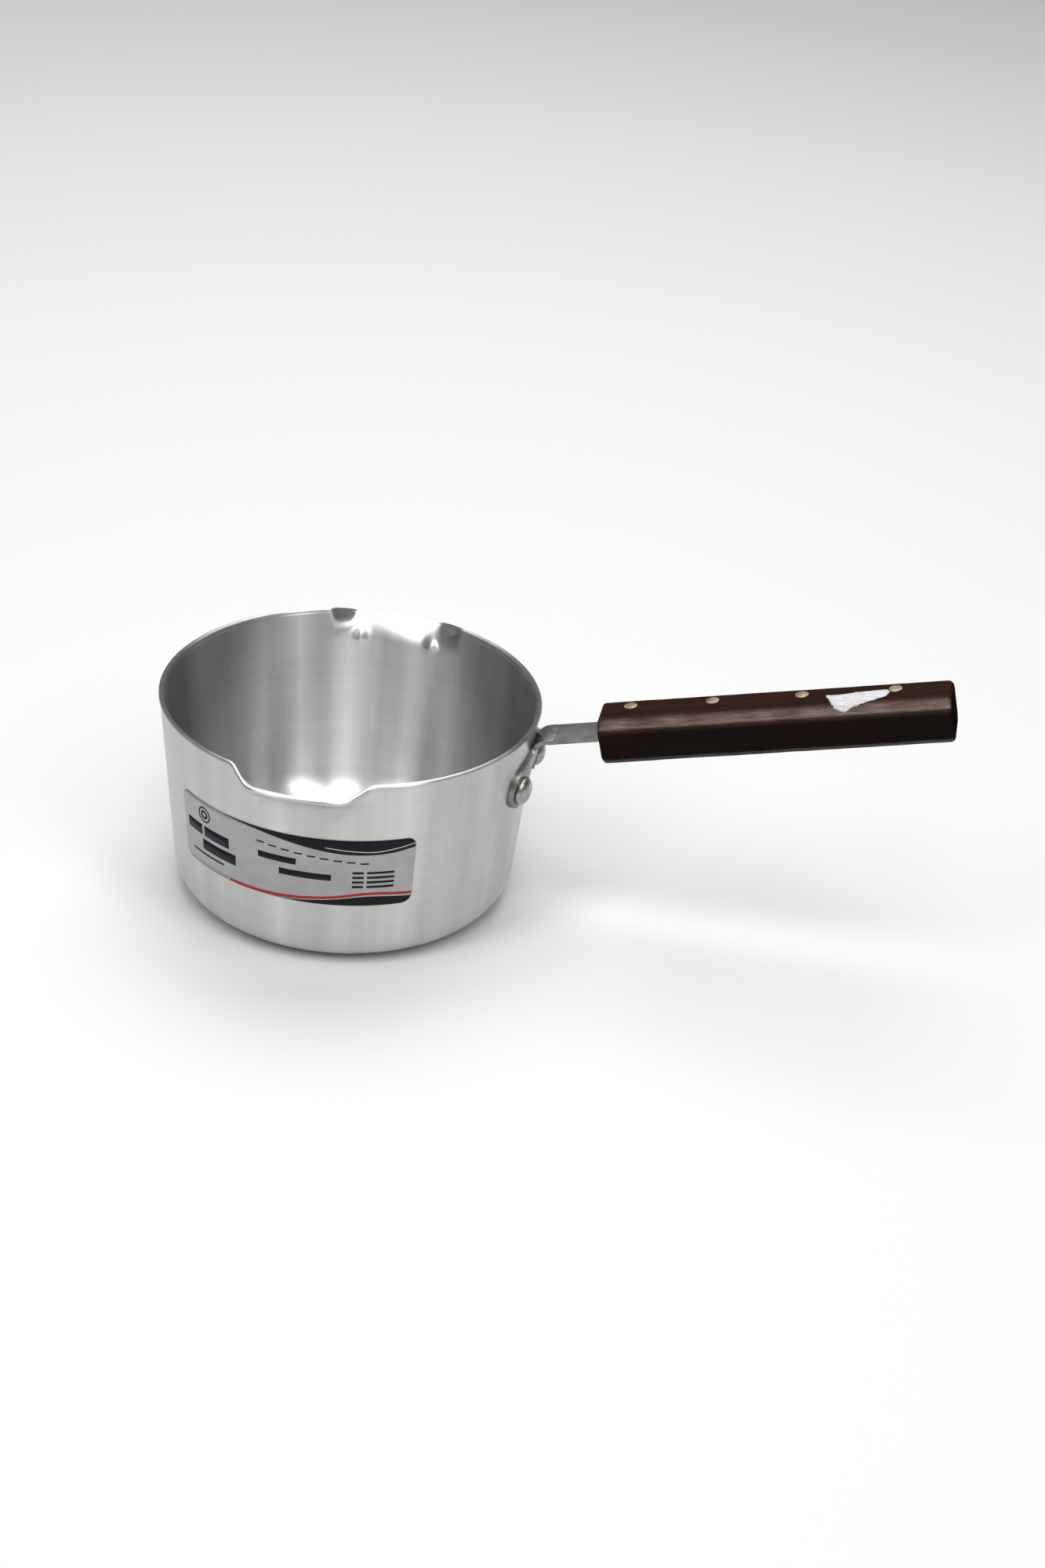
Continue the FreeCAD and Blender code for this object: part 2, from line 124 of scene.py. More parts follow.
# --- paper scrap on the grip: (along, across) the handle axis -----------------------------------
SCRAP_OUTLINE = (
    (203.4, -2.6), (205.8, -9.3), (207.0, -12.2), (207.6, -13.2), (211.7, -14.5), (214.4, -13.4),
    (218.6, -12.0), (222.5, -10.0), (228.2, -6.4), (229.4, -3.0), (228.4, -0.9), (224.4, -0.9),
    (219.8, -1.3), (215.2, -1.7), (208.9, -2.9),
)
SCRAP_THICKNESS = 0.08
SCRAP_LIFT = 0.10

# --- lights in metres and watts, round the pot from the front: 90 degrees is at the right --------
# name, azimuth, elevation, distance, width, height, power
LIGHTS = (
    ("overhead_back", 188, 66, 1.6, 1.2, 1.2, 18),
    ("strip_left", -36, 55, 1.8, 0.42, 1.4, 11.5),
    ("strip_middle", 12, 60, 1.8, 0.45, 1.2, 7),
    ("strip_right", 51, 55, 1.8, 0.45, 1.4, 10),
)
LIGHT_TARGET = Vector((0.03, 0.0, 0.06))
SURROUNDINGS = (0.82, 0.82, 0.81, 1.0)
SURROUNDINGS_STRENGTH = 0.33
FLOOR_COLOUR = (0.70, 0.70, 0.70, 1.0)

# --- camera ------------------------------------------------------------------------------------
VIEW_AZIMUTH = math.radians(8.0)
VIEW_ELEVATION = math.radians(29.45)
VIEW_ROLL = math.radians(4.32)
VIEW_DISTANCE = 1277.5
VIEW_RIGHT = 71.4            # the frame's middle lies this far right of the rim's middle
VIEW_DOWN = 38.4             # and this far below it
LENS = 70.34

WALL_LEAN = math.atan2(WALL_TOP_RADIUS - WALL_FOOT_RADIUS, POT_HEIGHT)
BEAD_FROM = -math.acos((WALL - BEAD_RADIUS) / BEAD_RADIUS)
BEAD_HEIGHT = BEAD_RADIUS * (1 - math.sin(BEAD_FROM))


# ------------------------------------------------------------------------------- mesh helpers

def grid_faces(rows, columns, closed_rows=False, closed_columns=False):
    """Quads over a grid of points stored row by row."""
    faces = []
    for row in range(rows if closed_rows else rows - 1):
        for column in range(columns if closed_columns else columns - 1):
            next_row, next_column = (row + 1) % rows, (column + 1) % columns
            faces.append((
                row * columns + column, row * columns + next_column,
                next_row * columns + next_column, next_row * columns + column))
    return faces


def capped_tube(rows, columns, clockwise=False):
    """Faces over rings of points stored ring by ring, with one polygon over each end."""
    faces = grid_faces(rows, columns, closed_columns=True)
    first = list(range(columns))
    last = list(range((rows - 1) * columns, rows * columns))
    if clockwise:
        return faces + [first, last[::-1]]
    return faces + [first[::-1], last]


def add_piece(name, points, faces, material, replaces=()):
    """A smooth mesh from points in millimetres, riding on the pot."""
    mesh = bpy.data.meshes.new(name)
    mesh.from_pydata([Vector(point) * MM for point in points], [], faces)
    mesh.validate()
    mesh.materials.append(material)
    mesh.shade_smooth()
    mesh.set_sharp_from_angle(angle=SHARP_ANGLE)
    piece = bpy.data.objects.new(name, mesh)
    bpy.context.scene.collection.objects.link(piece)
    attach(piece, "root")
    if replaces:
        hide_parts(*replaces)
    return piece


def add_modifier(piece, kind, **settings):
    modifier = piece.modifiers.new(kind.title(), kind)
    for key, value in settings.items():
        setattr(modifier, key, value)


def on_handle(along, across, above):
    """A point measured along, across and above the handle axis, in the part's frame."""
    tilt_cos, tilt_sin = math.cos(HANDLE_TILT), math.sin(HANDLE_TILT)
    return Vector((
        along * tilt_cos - above * tilt_sin, across,
        HANDLE_HEIGHT + along * tilt_sin + above * tilt_cos))


def wall_radius(height):
    return WALL_FOOT_RADIUS + math.tan(WALL_LEAN) * height


def on_wall(azimuth, height, proud=0.0):
    """A point on the plain wall, `proud` of it, with the azimuth in degrees."""
    angle = math.radians(azimuth)
    radius = wall_radius(height) + proud * math.cos(WALL_LEAN)
    return Vector((
        radius * math.cos(angle), radius * math.sin(angle), height - proud * math.sin(WALL_LEAN)))


def limited(x, low=0.0, high=1.0):
    return min(max(x, low), high)


def eased_ramp(x, ease=0.28):
    """0 to 1 along a straight ramp whose two ends are rounded over `ease`."""
    x = limited(x)
    slope = 1 / (1 - ease)
    if x < ease:
        return slope * x * x / (2 * ease)
    if x > 1 - ease:
        return 1 - slope * (1 - x) ** 2 / (2 * ease)
    return slope * (x - ease / 2)


def rough(point, size, seed=0.0):
    """Smooth noise from -1 to 1 with features of about `size` millimetres."""
    return noise.noise(Vector(point) / size + Vector((seed, 2 * seed, 3 * seed)))


# --------------------------------------------------------------------------- material helpers

def new_material(name, **inputs):
    """A principled material with uniform inputs set on the shader's own sockets."""
    material = bpy.data.materials.new(name)
    material.use_nodes = True
    shader = material.node_tree.nodes["Principled BSDF"]
    for key, value in inputs.items():
        shader.inputs[key.replace("_", " ")].default_value = value
    return material.node_tree, shader, material


def feed(tree, socket, value):
    """Link an output to the socket, or set the socket to a number or a colour."""
    if isinstance(value, bpy.types.NodeSocket):
        tree.links.new(value, socket)
    else:
        socket.default_value = value


def add_node(tree, kind, settings=None, **inputs):
    """A shader node; each input is a number, a colour or the output that feeds it."""
    node = tree.nodes.new("ShaderNode" + kind)
    for key, value in (settings or {}).items():
        setattr(node, key, value)
    for key, value in inputs.items():
        feed(tree, node.inputs[key.replace("_", " ")], value)
    return node


def calculate(tree, operation, first, second):
    node = add_node(tree, "Math", {"operation": operation})
    feed(tree, node.inputs[0], first)
    feed(tree, node.inputs[1], second)
    return node.outputs[0]


def mixed_colour(tree, factor, first, second):
    node = add_node(tree, "Mix", {"data_type": "RGBA"})
    colour_a, colour_b, colour_out = node.inputs[6], node.inputs[7], node.outputs[2]
    feed(tree, node.inputs[0], factor)
    feed(tree, colour_a, first)
    feed(tree, colour_b, second)
    return colour_out


def stretched_noise(tree, vector, scales, detail=3.0, roughness=0.55):
    """Noise with its own scale, in features per metre, along each axis of the vector."""
    scaled = add_node(tree, "Mapping", Vector=vector, Scale=scales).outputs["Vector"]
    made = add_node(
        tree, "TexNoise", Vector=scaled, Scale=1.0, Detail=detail, Roughness=roughness)
    return made.outputs["Fac"]


def ramp(tree, factor, stops):
    """A colour ramp; each stop is (position, colour), in rising order."""
    node = add_node(tree, "ValToRGB", Fac=factor)
    elements = node.color_ramp.elements
    for index, (position, colour) in enumerate(stops):
        element = elements[index] if index < 2 else elements.new(position)
        element.position = position
        element.color = (*colour, 1.0)
    return node.outputs["Color"]


def mottled(tree, factor, dark, light):
    """From dark to light over the usual range of a noise."""
    return ramp(tree, factor, ((0.3, dark), (0.7, light)))


def mapped(tree, value, low, high, from_low=0.25, from_high=0.75):
    """The range of a noise, or another range, turned into low to high."""
    keys = {"From_Min": from_low, "From_Max": from_high, "To_Min": low, "To_Max": high}
    return add_node(tree, "MapRange", Value=value, **keys).outputs["Result"]


def bump(tree, shader, height, strength, distance):
    made = add_node(tree, "Bump", Height=height, Strength=strength, Distance=distance)
    tree.links.new(made.outputs["Normal"], shader.inputs["Normal"])


def object_position(tree):
    return add_node(tree, "TexCoord").outputs["Object"]


def attribute(tree, name):
    return add_node(tree, "Attribute", {"attribute_name": name}).outputs["Fac"]


def handle_coordinates(tree):
    """Object coordinates turned so that X runs along the handle."""
    turned = add_node(
        tree, "Mapping", Vector=object_position(tree), Rotation=(0.0, HANDLE_TILT, 0.0))
    return turned.outputs["Vector"]


def spun_coordinates(tree):
    """For turned metal: X counts across the turning marks; and the direction from the axis."""
    parts = add_node(tree, "SeparateXYZ", Vector=object_position(tree)).outputs
    flat = add_node(tree, "CombineXYZ", X=parts["X"], Y=parts["Y"]).outputs[0]
    radius = add_node(tree, "VectorMath", {"operation": "LENGTH"}, Vector=flat).outputs["Value"]
    run = calculate(tree, "ADD", radius, parts["Z"])
    marks = add_node(tree, "CombineXYZ", X=run, Y=parts["X"], Z=parts["Y"]).outputs[0]
    around = add_node(tree, "VectorMath", {"operation": "NORMALIZE"}, Vector=flat)
    return marks, around.outputs["Vector"]


# ---------------------------------------------------------------------------------- materials

def spun_aluminium():
    """Highlights run up the walls and out over the floor, across the turning marks.

    The roughness stays above 0.28, because the denoiser takes smoother metal for a mirror and
    leaves blotches where the roughness crosses over.
    """
    tree, shader, material = new_material(
        "spun_aluminium", Metallic=1.0, Anisotropic=1.0, Anisotropic_Rotation=0.25)
    marks, around = spun_coordinates(tree)
    turned = stretched_noise(tree, marks, (210.0, 3.0, 3.0), detail=1.0)
    tone_and_reflection_streaks = stretched_noise(tree, around, (9.0, 9.0, 9.0), detail=2.0, roughness=0.5)
    smudges = stretched_noise(tree, object_position(tree), (28.0, 28.0, 28.0))
    # Painted reflection streaks: the base colour varies in streaks up the walls and out over the
    # floor, together with a random tone.
    tone = calculate(
        tree, "ADD", mapped(tree, tone_and_reflection_streaks, 0.0, 0.75), mapped(tree, turned, 0.0, 0.25))
    colour = ramp(tree, tone, ((0.0, (0.55, 0.55, 0.545)), (1.0, (0.69, 0.69, 0.683))))
    tree.links.new(colour, shader.inputs["Base Color"])
    haze = calculate(
        tree, "ADD", mapped(tree, smudges, 0.285, 0.315), mapped(tree, tone_and_reflection_streaks, 0.0, 0.03))
    tree.links.new(haze, shader.inputs["Roughness"])
    tangent = add_node(tree, "Tangent", {"direction_type": "RADIAL", "axis": "Z"})
    tree.links.new(tangent.outputs["Tangent"], shader.inputs["Tangent"])
    return material


def bracket_steel():
    tree, shader, material = new_material("bracket_steel", Metallic=1.0, Anisotropic=0.3)
    position = object_position(tree)
    brushed = stretched_noise(tree, position, (120.0, 1800.0, 1800.0))
    stains = stretched_noise(tree, position, (90.0, 90.0, 90.0))
    colour = mottled(tree, stains, (0.17, 0.17, 0.162), (0.28, 0.28, 0.268))
    tree.links.new(colour, shader.inputs["Base Color"])
    tree.links.new(mapped(tree, brushed, 0.30, 0.46), shader.inputs["Roughness"])
    bump(tree, shader, brushed, 0.3, 0.00008)
    return material


def rivet_aluminium():
    tree, shader, material = new_material("rivet_aluminium", Metallic=1.0)
    position = object_position(tree)
    nicks = stretched_noise(tree, position, (700.0, 700.0, 700.0))
    dirt = stretched_noise(tree, position, (260.0, 260.0, 260.0))
    colour = mottled(tree, dirt, (0.27, 0.26, 0.24), (0.50, 0.49, 0.465))
    tree.links.new(colour, shader.inputs["Base Color"])
    tree.links.new(mapped(tree, nicks, 0.29, 0.44), shader.inputs["Roughness"])
    bump(tree, shader, nicks, 0.35, 0.00012)
    return material


def wood_colour(tree, grain, pores, patches):
    """Grain and pores, rubbed pale with a painted highlight on the near bevel, and painted shade
    at the sides.
    """
    dark, middle, light = (0.009, 0.0029, 0.0018), (0.020, 0.0060, 0.0031), (0.041, 0.0115, 0.0052)
    pore = (0.010, 0.004, 0.003, 1.0)
    # Partly real wear, partly painted highlight: the pale colour laid on the near upper bevel.
    rubbed_and_highlight = (0.24, 0.16, 0.125, 1.0)
    # Painted shade: a near-black colour laid over the grip's sides below the upper bevels.
    painted_shade_colour = (0.0042, 0.0027, 0.0019, 1.0)
    colour = ramp(tree, grain, ((0.30, dark), (0.52, middle), (0.72, light)))
    colour = mixed_colour(tree, mapped(tree, pores, 0.75, 0.0, 0.30, 0.44), colour, pore)
    share = calculate(
        tree, "MULTIPLY", attribute(tree, "wear_and_highlight"), mapped(tree, pores, 0.25, 1.0, 0.35, 0.6))
    share = calculate(tree, "MULTIPLY", share, mapped(tree, patches, 0.55, 1.0))
    colour = mixed_colour(tree, share, colour, rubbed_and_highlight)
    # Painted shade darkens the sides below the upper bevels here.
    return mixed_colour(tree, attribute(tree, "painted_shade"), colour, painted_shade_colour)


def dark_wood():
    """The sawn ends are dull and the rubbed bevel is polished."""
    tree, shader, material = new_material("dark_wood")
    along = handle_coordinates(tree)
    grain = stretched_noise(tree, along, (16.0, 620.0, 420.0), detail=5.0, roughness=0.6)
    pores = stretched_noise(tree, along, (150.0, 2600.0, 2200.0), detail=2.0)
    patches = stretched_noise(tree, along, (22.0, 70.0, 70.0))
    tree.links.new(wood_colour(tree, grain, pores, patches), shader.inputs["Base Color"])
    end_grain, wear_and_highlight = attribute(tree, "end_grain"), attribute(tree, "wear_and_highlight")
    polish = calculate(
        tree, "ADD", mapped(tree, end_grain, 0.04, 0.0, 0.0, 1.0),
        mapped(tree, wear_and_highlight, 0.0, 0.40, 0.0, 1.0))
    tree.links.new(polish, shader.inputs["Specular IOR Level"])
    gloss = calculate(tree, "ADD", mapped(tree, patches, 0.28, 0.42), end_grain)
    tree.links.new(gloss, shader.inputs["Roughness"])
    relief = calculate(tree, "ADD", pores, calculate(tree, "MULTIPLY", grain, 0.6))
    bump(tree, shader, relief, 0.45, 0.00016)
    return material


def pin_brass():
    tree, shader, material = new_material("pin_brass", Metallic=0.85)
    position = handle_coordinates(tree)
    filed = stretched_noise(tree, position, (300.0, 3200.0, 900.0))
    dull = stretched_noise(tree, position, (420.0, 420.0, 420.0))
    colour = mottled(tree, dull, (0.26, 0.20, 0.11), (0.51, 0.42, 0.275))
    tree.links.new(colour, shader.inputs["Base Color"])
    tree.links.new(mapped(tree, filed, 0.34, 0.52), shader.inputs["Roughness"])
    bump(tree, shader, filed, 0.3, 0.00006)
    return material


def label_foil():
    tree, shader, material = new_material("label_foil", Metallic=0.75)
    position = object_position(tree)
    crinkle = stretched_noise(tree, position, (120.0, 120.0, 160.0))
    fibre = stretched_noise(tree, position, (700.0, 700.0, 1500.0))
    colour = mottled(tree, crinkle, (0.345, 0.348, 0.351), (0.41, 0.413, 0.416))
    tree.links.new(colour, shader.inputs["Base Color"])
    tree.links.new(mapped(tree, fibre, 0.36, 0.46), shader.inputs["Roughness"])
    bump(tree, shader, crinkle, 0.25, 0.0002)
    return material


def printed_ink(name, colour):
    tree, shader, material = new_material(name, Specular_IOR_Level=0.12)
    mottle = stretched_noise(tree, object_position(tree), (900.0, 900.0, 900.0))
    faded = tuple(min(1.0, channel * 1.25 + 0.004) for channel in colour)
    tree.links.new(mottled(tree, mottle, colour, faded), shader.inputs["Base Color"])
    tree.links.new(mapped(tree, mottle, 0.36, 0.48), shader.inputs["Roughness"])
    return material


def torn_paper():
    tree, shader, material = new_material("torn_paper", Roughness=0.9)
    fibres = stretched_noise(tree, handle_coordinates(tree), (260.0, 1500.0, 1500.0), detail=5.0)
    colour = mottled(tree, fibres, (0.36, 0.36, 0.375), (0.66, 0.66, 0.67))
    tree.links.new(colour, shader.inputs["Base Color"])
    bump(tree, shader, fibres, 0.6, 0.0003)
    return material


# ---------------------------------------------------------------------------------------- pot

def turn_from_lip(azimuth):
    """Degrees from the middle of the nearer lip."""
    return abs((azimuth - LIP_TURN) % 180 - 90)


def pressing(azimuth):
    """How far the lip is pressed here: 1 between the creases, 0 on the round rim."""
    turn = turn_from_lip(azimuth)
    return eased_ramp((LIP_FLANK_ANGLE - turn) / (LIP_FLANK_ANGLE - LIP_HALF_ANGLE))


def dent(azimuth, height):
    """Depth of the small inward dent under each crease."""
    across = math.radians(turn_from_lip(azimuth) - LIP_HALF_ANGLE) * wall_radius(height)
    up = height - DENT_HEIGHT
    fade_in = eased_ramp((height - PRESSED_FROM) / DENT_FADE)
    return DENT_DEPTH * fade_in * math.exp(-(across ** 2 + up ** 2) / DENT_SIZE ** 2)


def pressed_band(azimuth, steps=30):
    """The wall's outer face from its plain part to the bead: (point, direction) pairs."""
    pressed = pressing(azimuth)
    top = POT_HEIGHT - BEAD_HEIGHT
    low = Vector((wall_radius(PRESSED_FROM), PRESSED_FROM))
    bend = Vector((wall_radius(POT_HEIGHT - LIP_DEPTH), POT_HEIGHT - LIP_DEPTH))
    knee = Vector((wall_radius(POT_HEIGHT - LIP_KNEE), POT_HEIGHT - LIP_KNEE))
    edge = Vector((wall_radius(top) + pressed * LIP_OUT, top - pressed * LIP_DROP))
    band = [(low, (bend - low).normalized())]
    for step in range(steps + 1):
        u = step / steps
        point = (1 - u) ** 2 * bend + 2 * u * (1 - u) * knee + u * u * edge
        along = (1 - u) * (knee - bend) + u * (edge - knee)
        point.x -= dent(azimuth, point.y)
        band.append((point, along.normalized()))
    return band


def corner_arc(inward, steps=14):
    """The rounded corner between bottom and wall, from the bottom up."""
    radius = CORNER_RADIUS - inward
    middle = Vector((
        wall_radius(CORNER_RADIUS) - CORNER_RADIUS / math.cos(WALL_LEAN), CORNER_RADIUS))
    arc = []
    for step in range(steps + 1):
        angle = -math.pi / 2 + (math.pi / 2 - WALL_LEAN) * step / steps
        arc.append(middle + radius * Vector((math.cos(angle), math.sin(angle))))
    return arc


def bead_arc(edge, along, steps=12):
    """The rim's round, from the outer face over the top to the inner face."""
    across = Vector((along.y, -along.x))
    middle = edge - BEAD_RADIUS * (across * math.cos(BEAD_FROM) + along * math.sin(BEAD_FROM))
    arc = []
    for step in range(1, steps):
        angle = BEAD_FROM + (math.pi - 2 * BEAD_FROM) * step / steps
        arc.append(middle + BEAD_RADIUS * (across * math.cos(angle) + along * math.sin(angle)))
    return arc


def pot_face(corner, band, height):
    """One face of the pot, inner or outer, from the middle of its disc up to the bead."""
    disc = [Vector((corner[0].x * share, height)) for share in (0.02, 0.25, 0.5, 0.75, 0.92)]
    wall = [corner[-1].lerp(band[0], share) for share in (0.25, 0.5, 0.75)]
    return disc + corner + wall + band


def pot_profile(azimuth):
    """(radius, height) from the outer bottom over the rim to the floor inside."""
    band = pressed_band(azimuth)
    outer_band = [point for point, along in band]
    inner_band = [point - WALL * Vector((along.y, -along.x)) for point, along in band]
    outside = pot_face(corner_arc(0.0), outer_band, 0.0)
    inside = pot_face(corner_arc(WALL), inner_band, WALL)
    return outside + bead_arc(*band[-1]) + inside[::-1]


def build_pot(material):
    points = []
    for column in range(POT_COLUMNS):
        azimuth = 360.0 * column / POT_COLUMNS
        angle = math.radians(azimuth)
        profile = pot_profile(azimuth)
        points += [(p.x * math.cos(angle), p.x * math.sin(angle), p.y) for p in profile]
    rows = len(profile)
    faces = grid_faces(POT_COLUMNS, rows, closed_rows=True)
    faces.append([column * rows for column in reversed(range(POT_COLUMNS))])
    faces.append([column * rows + rows - 1 for column in range(POT_COLUMNS)])
    add_piece("pot_shell", points, faces, material, ["pot_body"])


# ------------------------------------------------------------------------- bracket and rivets

def build_bracket(material):
    """The CAD bracket itself, with its edges broken a little."""
    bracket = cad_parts["handle_bracket"]
    bracket.data.materials.clear()
    bracket.data.materials.append(material)
    add_modifier(bracket, "WELD", merge_threshold=0.01 * MM)
    add_modifier(
        bracket, "BEVEL", width=STRAP_EDGE_BREAK * MM, segments=2, angle_limit=math.radians(50))


def dome(steps=14):
    """The outer head's dome as (along, radius), a little fuller than a ball's cap."""
    arc = []
    for step in range(steps):
        angle = math.pi / 2 * step / steps
        along = STRAP + HEAD_EDGE + (HEAD_HEIGHT - HEAD_EDGE) * math.sin(angle) ** 1.15
        arc.append((along, HEAD_RADIUS * math.cos(angle) ** 0.9))
    return arc


def rivet_profile():
    """(along, radius) from the middle of the inner head to the middle of the domed outer head."""
    inner_wall_radius = wall_radius(EAR_HEIGHT) - WALL
    sag = inner_wall_radius - math.sqrt(inner_wall_radius ** 2 - INNER_HEAD_RADIUS ** 2)
    seat = -WALL - sag
    inner_head = [
        (seat - INNER_HEAD_HEIGHT, TIP_RADIUS),
        (seat - INNER_HEAD_HEIGHT, INNER_HEAD_RADIUS * 0.66),
        (seat - INNER_HEAD_HEIGHT * 0.94, INNER_HEAD_RADIUS * 0.76),
        (seat - INNER_HEAD_HEIGHT * 0.4, INNER_HEAD_RADIUS * 0.97),
        (seat - INNER_HEAD_HEIGHT * 0.25, INNER_HEAD_RADIUS),
        (seat, INNER_HEAD_RADIUS),
    ]
    shank = [(seat, SHANK_RADIUS), (STRAP, SHANK_RADIUS)]
    edge = [(STRAP, HEAD_RADIUS * 0.985), (STRAP + HEAD_EDGE * 0.3, HEAD_RADIUS)]
    return inner_head + shank + edge + dome() + [(STRAP + HEAD_HEIGHT, TIP_RADIUS)]


def build_rivet(name, side, material, columns=48):
    """A rivet square to the wall at one ear, worn a little out of round."""
    unevenness, feature_size = 0.012, 2.5
    turn = side * EAR_SPACING / 2 / wall_radius(EAR_HEIGHT)
    seat = on_wall(math.degrees(turn), EAR_HEIGHT)
    place = Matrix.Rotation(turn, 3, "Z") @ Matrix.Rotation(WALL_LEAN, 3, "Y")
    profile = rivet_profile()
    points = []
    for along, radius in profile:
        for column in range(columns):
            angle = 2 * math.pi * column / columns
            sample = (along, math.cos(angle) * 3, math.sin(angle) * 3)
            wobble = 1 + unevenness * rough(sample, feature_size, seed=side)
            local = Vector((
                along, radius * wobble * math.cos(angle), radius * wobble * math.sin(angle)))
            points.append(seat + place @ local)
    faces = capped_tube(len(profile), columns)
    piece_name = name.replace("pot_", "") + "_turned"
    add_piece(piece_name, points, faces, material, [name])


# --------------------------------------------------------------------------------------- grip

def grip_outline(along, inset):
    """The bevelled section's eight corners at one station, as (across, above), cut by hand."""
    near, far = GRIP_NEAR + inset, GRIP_FAR - inset
    low, high = GRIP_BOTTOM + inset, GRIP_TOP - inset
    corners = []
    middles = [(far, low), (far, high), (near, high), (near, low)]
    for index, (across, above) in enumerate(middles):
        slow = 0.30 * rough((along, 0, 0), 26.0, seed=index)
        quick = 0.16 * rough((along, 0, 0), 6.0, seed=index)
        bevel = GRIP_CHAMFER - 0.6 * inset + (slow + quick)
        toward_mid = Vector((1 if across < 0 else -1, 1 if above < 0 else -1))
        first = Vector((across, above + toward_mid.y * bevel))
        second = Vector((across + toward_mid.x * bevel, above))
        corners += [second, first] if index % 2 == 0 else [first, second]
    return corners


def grip_ring(along, inset, side_steps=6, arc_steps=4):
    """Points round the section: each side in steps, each corner a short arc."""
    corners = grip_outline(along, inset)
    count = len(corners)
    ring = []
    for index, corner in enumerate(corners):
        before, after = corners[index - 1], corners[(index + 1) % count]
        to_before, to_after = (before - corner).normalized(), (after - corner).normalized()
        start, end = corner + to_before * GRIP_FILLET, corner + to_after * GRIP_FILLET
        for step in range(arc_steps + 1):
            u = step / arc_steps
            ring.append((1 - u) ** 2 * start + 2 * u * (1 - u) * corner + u * u * end)
        next_start = after - to_after * GRIP_FILLET
        ring += [end.lerp(next_start, step / side_steps) for step in range(1, side_steps)]
    return ring


def grip_stations(arc_steps=6, middle_steps=110):
    """(along, inset) pairs: rounded start, long middle, rounded end."""
    low, high = GRIP_START + GRIP_START_ROUND, GRIP_END - GRIP_END_ROUND
    arc = [
        (math.sin(math.pi / 2 * step / arc_steps), 1 - math.cos(math.pi / 2 * step / arc_steps))
        for step in range(arc_steps + 1)]
    start = [
        (GRIP_START + GRIP_START_ROUND * bow, GRIP_START_ROUND * (1 - run)) for run, bow in arc]
    middle = [(low + (high - low) * step / middle_steps, 0.0) for step in range(1, middle_steps)]
    end = [(high + GRIP_END_ROUND * run, GRIP_END_ROUND * bow) for run, bow in arc]
    return start + middle + end


def painted_side_shade(above):
    """Painted shade: the sides are darkened almost to black below the upper bevels."""
    darkest, soft_edge = 0.85, 1.2
    return darkest * limited((GRIP_TOP - GRIP_CHAMFER - above) / soft_edge)


def end_grain(along):
    """1 on the two sawn ends, falling to 0 a little way in."""
    soft_edge = 0.8
    from_end = min(along - GRIP_START, GRIP_END - along)
    return 1.0 - limited(from_end / soft_edge)


def edge_wear_and_highlight(along, across, above):
    """How rubbed the wood is on the near upper bevel and how much painted highlight it carries,
    most of all along its lower edge.
    """
    in_from_near, down_from_top = across - GRIP_NEAR, GRIP_TOP - above
    reach = GRIP_CHAMFER + WEAR_AND_HIGHLIGHT_MARGIN
    if in_from_near + down_from_top >= reach:
        return 0.0
    fade = min(1.0, 1.5 * max(0.0, 1.0 - abs(in_from_near - down_from_top) / reach))
    # Painted highlight along the bevel's lower edge, on top of the real wear.
    lower_edge_highlight = max(0.0, 1.0 - abs(down_from_top - GRIP_CHAMFER) / 1.3)
    patchy = 0.45 + 0.3 * rough((along, across, above), 9.0, seed=7) + 0.5 * lower_edge_highlight
    return fade * limited(patchy)


def build_grip(material):
    """The wooden bar. Its wear and painted highlight, its painted side shade and its end grain are
    painted as attributes.
    """
    points = []
    paint = {"wear_and_highlight": [], "painted_shade": [], "end_grain": []}
    stations = grip_stations()
    for along, inset in stations:
        for across, above in grip_ring(along, inset):
            drift = 0.05 * rough((along, across, above), 14.0, seed=3)
            points.append(on_handle(along, across + drift, above + drift))
            # Wear on the near upper bevel, together with a painted highlight.
            paint["wear_and_highlight"].append(edge_wear_and_highlight(along, across, above))
            # Painted shade for the sides below the upper bevels.
            paint["painted_shade"].append(painted_side_shade(above))
            paint["end_grain"].append(end_grain(along))
    faces = capped_tube(len(stations), len(points) // len(stations), clockwise=True)
    grip = add_piece("grip_wood", points, faces, material, ["handle_grip"])
    for name, values in paint.items():
        grip.data.attributes.new(name, "FLOAT", "POINT").data.foreach_set("value", values)
    cut_kerf(grip)


def cut_kerf(grip):
    """The saw cut that takes the strap, open on the far side."""
    low = Vector((GRIP_START - 1, -STRAP_WIDTH / 2, -STRAP))
    high = Vector((TANG_END + 1, GRIP_FAR + 1, 0.0))
    corners = [
        on_handle(x, y, z) * MM
        for x in (low.x, high.x) for y in (low.y, high.y) for z in (low.z, high.z)]
    mesh = bpy.data.meshes.new("kerf")
    mesh.from_pydata(corners, [], [
        (0, 1, 3, 2), (4, 6, 7, 5), (0, 4, 5, 1), (2, 3, 7, 6), (0, 2, 6, 4), (1, 5, 7, 3)])
    cutter = bpy.data.objects.new("kerf", mesh)
    bpy.context.scene.collection.objects.link(cutter)
    add_modifier(grip, "BOOLEAN", operation="DIFFERENCE", solver="EXACT", object=cutter)
    bpy.context.view_layer.update()
    evaluated = grip.evaluated_get(bpy.context.evaluated_depsgraph_get())
    cut = bpy.data.meshes.new_from_object(evaluated)
    grip.modifiers.clear()
    grip.data = cut
    bpy.data.objects.remove(cutter)


